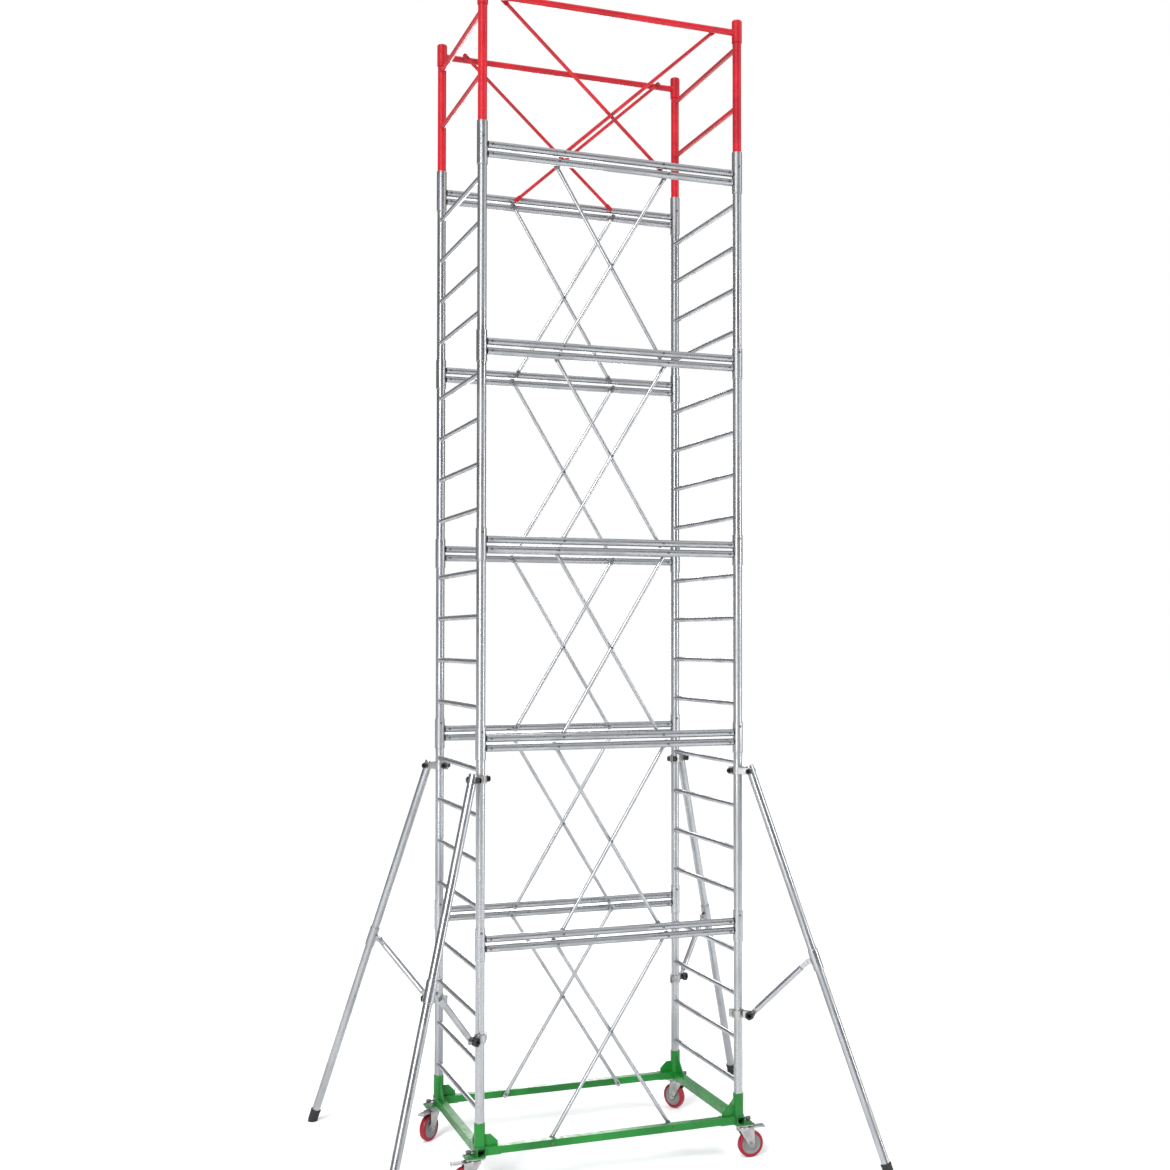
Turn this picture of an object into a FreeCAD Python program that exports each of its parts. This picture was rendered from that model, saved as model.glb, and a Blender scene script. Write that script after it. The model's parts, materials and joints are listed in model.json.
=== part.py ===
"""Mobile frame scaffold tower: wheeled base, five ladder frame modules, guardrail and four outriggers.

Millimetres. +X runs along the long side, +Y across the ladder frames, +Z up.
The origin is on the floor, under the middle of the tower.
"""
import FreeCAD, Part
import math
import os

V = FreeCAD.Vector
X_AXIS, Y_AXIS, Z_AXIS = V(1, 0, 0), V(0, 1, 0), V(0, 0, 1)

# ---- driving dimensions: the tower -------------------------------------------------
BAY_LENGTH = 1500.0          # between post axes along X
BAY_WIDTH = 960.0            # between post axes along Y
MODULE_HEIGHT = 1066.0
MODULE_COUNT = 5
POST_R = 25.0
POST_WALL = 2.5
FIT = 0.4                    # radial play of a post in its sleeve, cap or socket
SLEEVE_WALL = 4.0
SLEEVE_REACH = 85.0          # sleeve above and below each joint
TOP_SLEEVE_REACH = 150.0     # the last sleeve reaches further up, round the guardrail post
RUNG_R = 14.0
RUNG_WALL = 2.0
RUNG_COUNT = 4
RUNG_PITCH = 244.0
FIRST_RUNG = 190.0           # above the foot of its frame
LEDGER_R = 20.0
LEDGER_WALL = 2.0
LEDGER_OFFSET = 26.0         # ledger axis above or below the joint of two modules
LUG_THICK = 6.0
LUG_HEIGHT = 33.0
LUG_REACH = 44.0             # lug length beyond the sleeve
END_GAP = 3.0                # ledger end to sleeve, and long beam end to side beam
PIN_RISE = 62.0              # stacking bolt above each joint
BRACE_R = 10.0
BRACE_TOP_X = 320.0          # brace ends, from the middle of the bay
BRACE_FOOT_X = 290.0
BASE_BRACE_X = 350.0         # feet of the lowest braces, on the base beams
BRACE_PLAY = 1.0             # brace to the tube it hangs on
PADDLE_LENGTH, PADDLE_WIDTH, PADDLE_THICK = 46.0, 26.0, 8.0
BOLT_R = 4.0                 # M8 bolts of ledgers and braces
BOLT_PLAY = 0.3
NUT_WIDTH, NUT_THICK = 1.8, 1.4       # heads and nuts, as shares of the bolt's radius

# ---- driving dimensions: the guardrail ----------------------------------------------
GUARD_HEIGHT = 843.0         # top rail above the last joint
GUARD_RAIL_R = 18.0
GUARD_END_RAILS = (413.0, 758.0)     # cross rails above the last joint
CAP_ABOVE, CAP_BELOW = 72.0, 58.0
CAP_ROOF, CAP_EDGE = 6.0, 9.6          # closed top of a cap, and its rounding
GUARD_BRACE_TOP_X = 615.0

# ---- driving dimensions: the base ---------------------------------------------------
CASTER_HEIGHT = 190.0
BASE_PLATE = 6.0
SIDE_BEAM = 45.0
SIDE_BEAM_WALL = 2.5
SIDE_BEAM_OVERHANG = 45.0    # past the post axis
LONG_BEAM = 40.0
LONG_BEAM_WALL = 2.0
BEAM_FIT = 0.3               # play of a long beam in its corner stub, each side
STUB_LENGTH = 90.0
SOCKET_HEIGHT = 125.0        # above the side beam
SOCKET_WALL = 4.0
GUSSET_THICK = 6.0
GUSSET_LENGTH, GUSSET_HEIGHT = 72.0, 62.0        # plate over the stub
GUSSET_CORNER = 40.0
WEB_LENGTH, WEB_HEIGHT, WEB_TIP = 110.0, 100.0, 12.0   # plate along the side beam
CASTER_SHIFT = 30.0          # swivel axis outside the post axis
PLATE_LENGTH, PLATE_WIDTH, PLATE_CORNER = 110.0, 86.0, 10.0
PLATE_BOLT_X, PLATE_BOLT_Y = 82.0, 60.0
END_PLATE = 8.0              # threaded plate in each end of a long beam
SCREW_R = 5.0                # hand screws that draw the long beams to the side beams
SCREW_WASHER_R, SCREW_WASHER = 12.0, 3.0
SCREW_KNOB_R, SCREW_KNOB, SCREW_KNOB_EDGE = 11.0, 26.0, 3.0
SCREW_NECK = 22.0            # bare shank between washer and knob
SCREW_TAIL = 12.0            # shank past the end plate

# ---- driving dimensions: a caster ----------------------------------------------------
WHEEL_R = 75.0
TREAD_WIDTH = 38.0
TREAD_EDGE = 7.0              # rounding of the tread's shoulders
RIM_R = 56.0
RIM_WIDTH = 34.0
RIM_WALL = 8.0
POCKET_COUNT, POCKET_R = 6, 7.0      # holes in the rim's web
POCKET_SHARE = 0.58          # their circle, as a share of the rim's radius
HUB_R = 17.0
HUB_WIDTH = 42.0
WEB_THICK = 9.0
TRAIL = 45.0
AXLE_R = 6.0
RUNNING = 0.08               # radial play of every turning pin
FORK_PLATE = 4.0
FORK_INSIDE = 23.0           # half the gap between the fork legs
CROWN_R = 38.0
CROWN_TOP = 177.0
CROWN_BOTTOM = 156.0
CROWN_EDGE = 5.0
CROWN_BACK = 0.8 * CROWN_R   # the fork's legs start this far behind the swivel axis
CROWN_ROOF = 6.0             # plate that joins the legs over the wheel
EAR_UP, EAR_DOWN = 7.0, 12.0          # pedal ears above and below the pedal pin
EAR_AHEAD, EAR_BEHIND = 3.0, 14.0     # past the barrel, and behind the pin
ROOF_END = 18.0              # the roof stops this far behind the pedal pin
RACE_GAP = 0.6               # swivel crown to the fixed race above it
RACE_R = 33.0
CASTER_PLATE = 5.0
PLATE_INSET = 4.0            # the caster's own plate is this much smaller, all round
KING_NUT = 5.0
PEDAL_X, PEDAL_Z = 48.0, 165.0
PEDAL_PIN_R = 4.0
PEDAL_BARREL_R = 8.0
PEDAL_LENGTH, PEDAL_WIDTH, PEDAL_THICK = 78.0, 40.0, 4.0
PEDAL_TIP = 14.0             # height of the turned-down tip
PEDAL_RIB, PEDAL_RIB_DEPTH, PEDAL_RIB_END = 3.0, 9.0, 8.0
SHOE_LENGTH, SHOE_WIDTH, SHOE_DROP = 12.0, 24.0, 11.0
CASTER_TURN = {"front_left": 180.0, "front_right": 0.0, "rear_left": 222.0, "rear_right": 118.0}

# ---- driving dimensions: an outrigger --------------------------------------------------
OUTRIGGER_ANGLE = 42.0       # from the X axis
OUTRIGGER_REACH = 870.0      # sole centre from the post axis
CLAMP_PIVOT = 78.0           # leg and strut pivots from the post axis
CLAMP_TO_RUNG = 9.0          # free height between a clamp and the rung above it
LOW_CLAMP_TRAVEL = 62.0      # the low clamp slides up this far as the foot lifts
CLAMP_FIT = 0.3
CLAMP_WALL = 8.0
CLAMP_HEIGHT = 44.0
CLAMP_SLIT = 4.0
EAR_LENGTH, EAR_THICK = 24.0, 7.0
CHEEK_THICK = 5.5
CHEEK_R = 19.0
LEG_R = 24.0
LEG_WALL = 2.5
LEG_HEAD = 32.0              # leg above its pivot
LEG_CAP = 4.0                # closed, rounded upper end
LEG_SIDE_PLAY = 1.5
COLLAR_SHARE = 0.474         # collar place along the leg
COLLAR_R = 29.0
COLLAR_LENGTH = 112.0
COLLAR_PIVOT = 52.0          # strut pivot from the leg axis
STRUT_R = 17.0
TONGUE_THICK, TONGUE_R = 10.0, 15.0
TONGUE_LENGTH = 48.0
TONGUE_PLAY = 1.2
PIVOT_R = 5.0
FOOT_R = 29.0
FOOT_LENGTH = 78.0
FOOT_FLOOR = 26.0            # rubber under the end of the leg, along its axis
KNOB_R, KNOB_THICK, KNOB_LOBES = 24.0, 22.0, 6
SCALLOP_R, SCALLOP_OUT = 9.0, 4.0     # hollows between the lobes, centred outside the knob
KNOB_EDGE = 2.0

# ---- what follows from them --------------------------------------------------------------
HALF_X, HALF_Y = BAY_LENGTH / 2, BAY_WIDTH / 2
SLEEVE_R = POST_R + FIT + SLEEVE_WALL
SIDE_BEAM_BOTTOM = CASTER_HEIGHT + BASE_PLATE
SIDE_BEAM_MIDDLE = SIDE_BEAM_BOTTOM + SIDE_BEAM / 2
SOCKET_TOP = SIDE_BEAM_BOTTOM + SIDE_BEAM + SOCKET_HEIGHT
FRAME_FOOT = SIDE_BEAM_BOTTOM + SIDE_BEAM
GUARD_FOOT = FRAME_FOOT + MODULE_COUNT * MODULE_HEIGHT
BRACE_HANG = HALF_Y - LEDGER_R - BRACE_PLAY
BRACE_Y = (BRACE_HANG - BRACE_R, BRACE_HANG - 3 * BRACE_R - BRACE_PLAY / 2)
HIGH_RUNG = FRAME_FOOT + MODULE_HEIGHT + FIRST_RUNG + 3 * RUNG_PITCH    # top rung of the second module
LOW_RUNG = FRAME_FOOT + FIRST_RUNG + 2 * RUNG_PITCH                     # third rung of the first module
UNDER_RUNG = RUNG_R + CLAMP_TO_RUNG + CLAMP_HEIGHT / 2
TOP_CLAMP_Z = HIGH_RUNG - UNDER_RUNG
LOW_CLAMP_Z = LOW_RUNG - UNDER_RUNG - LOW_CLAMP_TRAVEL
LEG_ANGLE = math.atan2(OUTRIGGER_REACH - CLAMP_PIVOT, TOP_CLAMP_Z)
LEG_LENGTH = math.hypot(OUTRIGGER_REACH - CLAMP_PIVOT, TOP_CLAMP_Z)
CORNERS = {"front_left": (-1, -1), "front_right": (1, -1), "rear_left": (-1, 1), "rear_right": (1, 1)}
SIDES = {"left": -1, "right": 1}


def cylinder(radius, length, base, direction):
    return Part.makeCylinder(radius, length, base, direction)


def tube(radius, wall, length, base, direction):
    outside = cylinder(radius, length, base, direction)
    return outside.cut(cylinder(radius - wall, length + 2, base - direction.normalize(), direction))


def box(x0, x1, y0, y1, z0, z1):
    return Part.makeBox(x1 - x0, y1 - y0, z1 - z0, V(x0, y0, z0))


def hexagon(radius, thick, base, direction):
    """A hexagonal prism for bolt heads and nuts, on a base point along a direction."""
    turns = [math.radians(angle) for angle in range(0, 420, 60)]
    ring = [V(radius * math.cos(turn), radius * math.sin(turn), 0) for turn in turns]
    prism = Part.Face(Part.makePolygon(ring)).extrude(V(0, 0, thick))
    prism.Placement = FreeCAD.Placement(base, FreeCAD.Rotation(Z_AXIS, direction))
    return prism


def bolt(radius, grip, base, direction):
    """A bolt and nut that clamp a stack of the given grip, starting at base."""
    along = V(direction).normalize()
    shank = cylinder(radius, grip + 2, base - along, along)
    thick = radius * NUT_THICK
    head = hexagon(radius * NUT_WIDTH, thick, base - along * thick, along)
    nut = hexagon(radius * NUT_WIDTH, thick, base + along * grip, along)
    return shank.fuse([head, nut])


def turned(shape, angle, centre):
    moved = shape.copy()
    moved.rotate(V(0, 0, 0), Z_AXIS, angle)
    moved.translate(centre)
    return moved


def save(name, shapes):
    """One STEP file for one node, which may hold several separate solids."""
    solids = [solid for shape in shapes for solid in shape.Solids]
    Part.makeCompound(solids).exportStep("parts/" + name + ".step")


# ---- ladder frames --------------------------------------------------------------------

def stile(side, across, foot, reach):
    """One post of a ladder frame, the sleeve welded round its top and the lugs for two ledgers."""
    x, y = side * HALF_X, across * HALF_Y
    top = foot + MODULE_HEIGHT
    post = tube(POST_R, POST_WALL, MODULE_HEIGHT, V(x, y, foot), Z_AXIS).cut(pin_hole(x, y, foot))
    whole_sleeve = cylinder(SLEEVE_R, SLEEVE_REACH + reach, V(x, y, top - SLEEVE_REACH), Z_AXIS)
    welded = cylinder(POST_R, SLEEVE_REACH + 1, V(x, y, top - SLEEVE_REACH - 1), Z_AXIS)
    seat = cylinder(POST_R + FIT, reach + 1, V(x, y, top), Z_AXIS)
    pieces = [post, whole_sleeve.cut(welded.fuse([seat, pin_hole(x, y, top)]))]
    for level in (-LEDGER_OFFSET, LEDGER_OFFSET):
        x0, x1 = sorted((x, x - side * (SLEEVE_R + LUG_REACH)))
        z = top + level
        lug = box(x0, x1, y - LUG_THICK / 2, y + LUG_THICK / 2, z - LUG_HEIGHT / 2, z + LUG_HEIGHT / 2)
        pieces.append(lug.cut(whole_sleeve).cut(ledger_hole(side, across, z)))
    return pieces


def pin_hole(x, y, joint):
    """A hole across a sleeve and the post that stands in it, for the stacking bolt."""
    return cylinder(BOLT_R + BOLT_PLAY, 4 * SLEEVE_R, V(x, y - 2 * SLEEVE_R, joint + PIN_RISE), Y_AXIS)


def ledger_bolt_x(side):
    return side * (HALF_X - SLEEVE_R - LUG_REACH / 2 - END_GAP)


def ledger_hole(side, across, z):
    start = V(ledger_bolt_x(side), across * HALF_Y - LEDGER_R - 1, z)
    return cylinder(BOLT_R + BOLT_PLAY, 2 * LEDGER_R + 2, start, Y_AXIS)


def cross_tube(x, z, radius, wall):
    """A tube across the frame, with its ends saddled to the two posts."""
    whole = tube(radius, wall, BAY_WIDTH, V(x, -HALF_Y, z), Y_AXIS)
    for across in (-1, 1):
        whole = whole.cut(cylinder(POST_R, 4 * radius, V(x, across * HALF_Y, z - 2 * radius), Z_AXIS))
    middle = [solid for solid in whole.Solids if abs(solid.CenterOfMass.y) < 1]
    return middle[0]


def make_ladder_frames():
    for module in range(MODULE_COUNT):
        foot = FRAME_FOOT + module * MODULE_HEIGHT
        reach = TOP_SLEEVE_REACH if module == MODULE_COUNT - 1 else SLEEVE_REACH
        for name, side in SIDES.items():
            pieces = stile(side, -1, foot, reach) + stile(side, 1, foot, reach)
            for rung in range(RUNG_COUNT):
                z = foot + FIRST_RUNG + rung * RUNG_PITCH
                pieces.append(cross_tube(side * HALF_X, z, RUNG_R, RUNG_WALL))
            save(f"ladder_frame_{module + 1}_{name}", pieces)


# ---- ledgers, braces and their bolts ------------------------------------------------------

def joint_levels():
    return [FRAME_FOOT + module * MODULE_HEIGHT for module in range(1, MODULE_COUNT + 1)]


def make_ledgers():
    length = BAY_LENGTH - 2 * (SLEEVE_R + END_GAP)
    pieces = []
    for across in (-1, 1):
        for joint in joint_levels():
            for z, spread in ((joint - LEDGER_OFFSET, BRACE_TOP_X), (joint + LEDGER_OFFSET, BRACE_FOOT_X)):
                ledger = tube(LEDGER_R, LEDGER_WALL, length, V(-length / 2, across * HALF_Y, z), X_AXIS)
                holes = [ledger_hole(side, across, z) for side in (-1, 1)]
                holes += [brace_hole(side * spread, across, z) for side in (-1, 1)]
                pieces.append(ledger.cut(holes[0].fuse(holes[1:])))
    save("ledger_tubes", pieces)


def brace(foot, top):
    """A round rod with a flattened, drilled paddle at both ends; both ends share one Y."""
    run = top - foot
    along = V(run).normalize()
    rod_start = foot + along * (PADDLE_LENGTH / 2)
    shape = cylinder(BRACE_R, run.Length - PADDLE_LENGTH, rod_start, along)
    turn = FreeCAD.Rotation(X_AXIS, along)
    for end, outward in ((foot, -1), (top, 1)):
        paddle = Part.makeBox(PADDLE_LENGTH, PADDLE_THICK, PADDLE_WIDTH,
                              V(-PADDLE_LENGTH / 2, -PADDLE_THICK / 2, -PADDLE_WIDTH / 2))
        paddle = paddle.makeFillet(PADDLE_WIDTH * 0.45, [edge for edge in paddle.Edges
                                   if abs(edge.tangentAt(0).y) > 0.9 and edge.CenterOfMass.x * outward > 0])
        paddle.Placement = FreeCAD.Placement(end, turn)
        hole = cylinder(BOLT_R + BOLT_PLAY, PADDLE_THICK + 2, end - Y_AXIS * (PADDLE_THICK / 2 + 1), Y_AXIS)
        shape = shape.fuse(paddle).cut(hole)
    return shape


def brace_pair(across, foot_x, foot_z, top_x, top_z):
    """Two crossing rods inside one long side, and the rivet where they cross."""
    rods = []
    for lean, depth in zip((1, -1), BRACE_Y):
        y = across * depth
        rods.append(brace(V(-lean * foot_x, y, foot_z), V(lean * top_x, y, top_z)))
    share = foot_x / (foot_x + top_x)
    crossing_z = foot_z + share * (top_z - foot_z)
    outer = BRACE_Y[0] + BRACE_R + BRACE_PLAY / 2
    grip = 4 * BRACE_R + 1.5 * BRACE_PLAY
    rivet = cylinder(BOLT_R, grip, V(0, across * outer, crossing_z), Y_AXIS * -across)
    hole = cylinder(BOLT_R + BOLT_PLAY, grip + 4, V(0, across * (outer + 2), crossing_z), Y_AXIS * -across)
    head_base = V(0, across * (outer - grip), crossing_z)
    for start, outward in ((V(0, across * outer, crossing_z), across), (head_base, -across)):
        rivet = rivet.fuse(cylinder(2 * BOLT_R, 2, start, Y_AXIS * outward))
    return [rod.cut(hole) for rod in rods], rivet


def brace_bolts(across, foot_x, foot_z, top_x, top_z, foot_r, top_r):
    """The bolts of a pair: each goes through the tube or beam, a spacer and the paddle."""
    bolts = []
    for lean, depth in zip((1, -1), BRACE_Y):
        for x, z, half in ((-lean * foot_x, foot_z, foot_r), (lean * top_x, top_z, top_r)):
            start = HALF_Y + half
            far_face = depth - PADDLE_THICK / 2
            shape = bolt(BOLT_R, start - far_face, V(x, across * start, z), Y_AXIS * -across)
            near_face = depth + PADDLE_THICK / 2
            spacer_start = V(x, across * near_face, z)
            spacer = cylinder(2 * BOLT_R, HALF_Y - half - near_face, spacer_start, Y_AXIS * across)
            bolts.append(shape.fuse(spacer))
    return bolts


def brace_hole(x, across, z):
    """A hole across a ledger, beam or rail for the bolt of a brace."""
    return cylinder(BOLT_R + BOLT_PLAY, 2 * SIDE_BEAM, V(x, across * HALF_Y - SIDE_BEAM, z), Y_AXIS)


def brace_layout():
    """Each pair: foot half-spread, foot height, top half-spread, top height, foot and top half-widths."""
    rows = []
    for module in range(MODULE_COUNT):
        foot = FRAME_FOOT + module * MODULE_HEIGHT
        top_z = foot + MODULE_HEIGHT - LEDGER_OFFSET
        if module == 0:
            rows.append((BASE_BRACE_X, SIDE_BEAM_MIDDLE, BRACE_TOP_X, top_z, LONG_BEAM / 2, LEDGER_R))
        else:
            rows.append((BRACE_FOOT_X, foot + LEDGER_OFFSET, BRACE_TOP_X, top_z, LEDGER_R, LEDGER_R))
    return rows


def guard_brace_row():
    return (BRACE_FOOT_X, GUARD_FOOT + LEDGER_OFFSET, GUARD_BRACE_TOP_X, GUARD_FOOT + GUARD_HEIGHT,
            LEDGER_R, GUARD_RAIL_R)


def make_braces_and_bolts():
    rods, red_rods, fasteners = [], [], []
    for across in (-1, 1):
        for row in brace_layout():
            pair, rivet = brace_pair(across, *row[:4])
            rods += pair
            fasteners += [rivet] + brace_bolts(across, *row)
        pair, rivet = brace_pair(across, *guard_brace_row()[:4])
        red_rods += pair
        fasteners += [rivet] + brace_bolts(across, *guard_brace_row())
        for joint in joint_levels():
            for z in (joint - LEDGER_OFFSET, joint + LEDGER_OFFSET):
                for side in (-1, 1):
                    start = V(ledger_bolt_x(side), across * (HALF_Y + LEDGER_R), z)
                    fasteners.append(bolt(BOLT_R, 2 * LEDGER_R, start, Y_AXIS * -across))
    for joint in joint_levels():
        for x in (-HALF_X, HALF_X):
            for y in (-HALF_Y, HALF_Y):
                fasteners.append(bolt(BOLT_R, 2 * SLEEVE_R, V(x, y - SLEEVE_R, joint + PIN_RISE), Y_AXIS))
    save("brace_rods", rods)
    save("frame_bolts", fasteners)
    return red_rods


# ---- guardrail --------------------------------------------------------------------------

def make_guardrail(red_rods):
    rail_z = GUARD_FOOT + GUARD_HEIGHT
    post_top = rail_z + CAP_ABOVE - CAP_ROOF
    ends = []
    for x in (-HALF_X, HALF_X):
        for y in (-HALF_Y, HALF_Y):
            post = tube(POST_R, POST_WALL, post_top - GUARD_FOOT, V(x, y, GUARD_FOOT), Z_AXIS)
            ends.append(post.cut(pin_hole(x, y, GUARD_FOOT)))
        ends += [cross_tube(x, GUARD_FOOT + height, RUNG_R, RUNG_WALL) for height in GUARD_END_RAILS]
    save("guardrail_end_frames", ends)
    rails = []
    for across in (-1, 1):
        y = across * HALF_Y
        for side in (-1, 1):
            base = V(side * HALF_X, y, rail_z - CAP_BELOW)
            cap = cylinder(SLEEVE_R, CAP_ABOVE + CAP_BELOW, base, Z_AXIS)
            cap = cap.makeFillet(CAP_EDGE, [edge for edge in cap.Edges
                                 if edge.CenterOfMass.z > rail_z and edge.Closed])
            rails.append(cap.cut(cylinder(POST_R + FIT, CAP_ABOVE + CAP_BELOW - CAP_ROOF, base, Z_AXIS)))
        rail = tube(GUARD_RAIL_R, RUNG_WALL, BAY_LENGTH, V(-HALF_X, y, rail_z), X_AXIS)
        for side in (-1, 1):
            saddle_base = V(side * HALF_X, y, rail_z - 2 * GUARD_RAIL_R)
            rail = rail.cut(cylinder(SLEEVE_R, 4 * GUARD_RAIL_R, saddle_base, Z_AXIS))
        rail = [solid for solid in rail.Solids if abs(solid.CenterOfMass.x) < 1][0]
        for side in (-1, 1):
            rail = rail.cut(brace_hole(side * GUARD_BRACE_TOP_X, across, rail_z))
        rails.append(rail)
    save("guardrail_rails_and_braces", rails + red_rods)


# ---- base -------------------------------------------------------------------------------

def base_corner(side, across):
    """The parts welded to one corner of the base: socket, gusset, web, stub and caster plate."""
    x, y = side * HALF_X, across * HALF_Y
    bottom, middle, top = SIDE_BEAM_BOTTOM, SIDE_BEAM_MIDDLE, SIDE_BEAM_BOTTOM + SIDE_BEAM
    socket_r = POST_R + FIT + SOCKET_WALL
    socket = cylinder(socket_r, SOCKET_TOP - top, V(x, y, top), Z_AXIS)
    inner = x - side * SIDE_BEAM / 2
    x0, x1 = sorted((inner, inner - side * STUB_LENGTH))
    stub = box(x0, x1, y - SIDE_BEAM / 2, y + SIDE_BEAM / 2, bottom, top)
    half = LONG_BEAM / 2 + BEAM_FIT
    stub = stub.cut(box(x0 - 1, x1 + 1, y - half, y + half, middle - half, middle + half))
    g0 = x - side * (socket_r - 2)
    g1 = g0 - side * GUSSET_LENGTH
    outline = [V(g0, y, top), V(g1, y, top), V(g1, y, top + GUSSET_HEIGHT - GUSSET_CORNER),
               V(g1 + side * GUSSET_CORNER, y, top + GUSSET_HEIGHT), V(g0, y, top + GUSSET_HEIGHT),
               V(g0, y, top)]
    gusset = Part.Face(Part.makePolygon(outline)).extrude(V(0, GUSSET_THICK, 0))
    gusset.translate(V(0, -GUSSET_THICK / 2, 0))
    w0 = y - across * (socket_r - 2)
    w1 = w0 - across * WEB_LENGTH
    outline = [V(x, w0, top), V(x, w1, top), V(x, w1, top + WEB_TIP),
               V(x, w0 - across * WEB_TIP, top + WEB_HEIGHT), V(x, w0, top + WEB_HEIGHT), V(x, w0, top)]
    web = Part.Face(Part.makePolygon(outline)).extrude(V(GUSSET_THICK, 0, 0))
    web.translate(V(-GUSSET_THICK / 2, 0, 0))
    px = x + side * CASTER_SHIFT
    plate = box(px - PLATE_LENGTH / 2, px + PLATE_LENGTH / 2, y - PLATE_WIDTH / 2, y + PLATE_WIDTH / 2,
                CASTER_HEIGHT, bottom)
    plate = plate.makeFillet(PLATE_CORNER, [edge for edge in plate.Edges if abs(edge.tangentAt(0).z) > 0.9])
    for hx, hy in plate_bolts():
        spot = V(px + side * hx, y + hy, CASTER_HEIGHT - 1)
        plate = plate.cut(cylinder(BOLT_R + BOLT_PLAY, BASE_PLATE + 2, spot, Z_AXIS))
    pocket = cylinder(POST_R + FIT, SOCKET_HEIGHT + 2, V(x, y, FRAME_FOOT - 1), Z_AXIS)
    return [socket.cut(pocket), gusset.cut(socket), web.cut(socket), stub, plate]


def plate_bolts():
    return [(sx * PLATE_BOLT_X / 2, sy * PLATE_BOLT_Y / 2) for sx in (-1, 1) for sy in (-1, 1)]


def under_beam_bolts():
    """The plate bolts that also go through the bottom wall of the side beam, from the swivel axis."""
    return [(hx, hy) for hx, hy in plate_bolts() if hx < 0]


def square_beam(x, half_length, half_side):
    """A square bar along Y at the height of the base beams."""
    return box(x - half_side, x + half_side, -half_length, half_length,
               SIDE_BEAM_MIDDLE - half_side, SIDE_BEAM_MIDDLE + half_side)


def make_base():
    half = HALF_Y + SIDE_BEAM_OVERHANG
    for name, side in SIDES.items():
        x = side * HALF_X
        beam = square_beam(x, half, SIDE_BEAM / 2)
        beam = beam.cut(square_beam(x, half + 1, SIDE_BEAM / 2 - SIDE_BEAM_WALL))
        corners = []
        for across in (-1, 1):
            y = across * HALF_Y
            screw_start = V(x - SIDE_BEAM, y, SIDE_BEAM_MIDDLE)
            beam = beam.cut(cylinder(SCREW_R + BOLT_PLAY, 2 * SIDE_BEAM, screw_start, X_AXIS))
            for hx, hy in under_beam_bolts():
                spot = V(x + side * (CASTER_SHIFT + hx), y + hy, CASTER_HEIGHT)
                beam = beam.cut(cylinder(BOLT_R + BOLT_PLAY, SIDE_BEAM / 2, spot, Z_AXIS))
            corners += base_corner(side, across)
        save("base_end_frame_" + name, beam.Solids + corners)
    reach = long_beam_reach()
    beams = []
    for across in (-1, 1):
        y = across * HALF_Y
        solid, core = LONG_BEAM / 2, LONG_BEAM / 2 - LONG_BEAM_WALL
        low, high = SIDE_BEAM_MIDDLE - solid, SIDE_BEAM_MIDDLE + solid
        beam = box(-reach, reach, y - solid, y + solid, low, high)
        inside, wall = reach - END_PLATE, solid - core
        beam = beam.cut(box(-inside, inside, y - core, y + core, low + wall, high - wall))
        beam = beam.cut(cylinder(SCREW_R, BAY_LENGTH, V(-HALF_X, y, SIDE_BEAM_MIDDLE), X_AXIS))
        for side in (-1, 1):
            beam = beam.cut(brace_hole(side * BASE_BRACE_X, across, SIDE_BEAM_MIDDLE))
        beams.append(beam)
    save("base_long_beams", beams)
    save("base_lock_screws", [lock_screw(side, across) for side in (-1, 1) for across in (-1, 1)])


def long_beam_reach():
    return HALF_X - SIDE_BEAM / 2 - END_GAP


def lock_screw(side, across):
    """A hand screw through the side beam into the end plate of a long beam: shank, washer and knob."""
    outward = X_AXIS * side
    middle = V(0, across * HALF_Y, SIDE_BEAM_MIDDLE)
    tip = middle + outward * (long_beam_reach() - END_PLATE - SCREW_TAIL)
    face = middle + outward * (HALF_X + SIDE_BEAM / 2)
    knob_start = face + outward * (SCREW_WASHER + SCREW_NECK)
    shank = cylinder(SCREW_R, (knob_start - tip).Length + 1, tip, outward)
    washer = cylinder(SCREW_WASHER_R, SCREW_WASHER, face, outward)
    knob_body = cylinder(SCREW_KNOB_R, SCREW_KNOB, knob_start, outward)
    knob_body = knob_body.makeFillet(SCREW_KNOB_EDGE, [edge for edge in knob_body.Edges if edge.Closed])
    return shank.fuse([washer, knob_body])


# ---- casters ------------------------------------------------------------------------------
# Each caster is drawn with its swivel axis on the Z axis and its wheel trailing along +X.

def caster_plate():
    """Bolted top plate with the fixed race and the king pin under it."""
    half_x, half_y = PLATE_LENGTH / 2 - PLATE_INSET, PLATE_WIDTH / 2 - PLATE_INSET
    plate = box(-half_x, half_x, -half_y, half_y, CASTER_HEIGHT - CASTER_PLATE, CASTER_HEIGHT)
    race_z = CROWN_TOP + RACE_GAP
    race = cylinder(RACE_R, CASTER_HEIGHT - CASTER_PLATE - race_z, V(0, 0, race_z), Z_AXIS)
    nut_z = CROWN_BOTTOM - RACE_GAP - KING_NUT
    pin = cylinder(AXLE_R, CASTER_HEIGHT - CASTER_PLATE - nut_z, V(0, 0, nut_z), Z_AXIS)
    nut = hexagon(2 * AXLE_R, KING_NUT, V(0, 0, nut_z), Z_AXIS)
    return plate.fuse([race, pin, nut])


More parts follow.
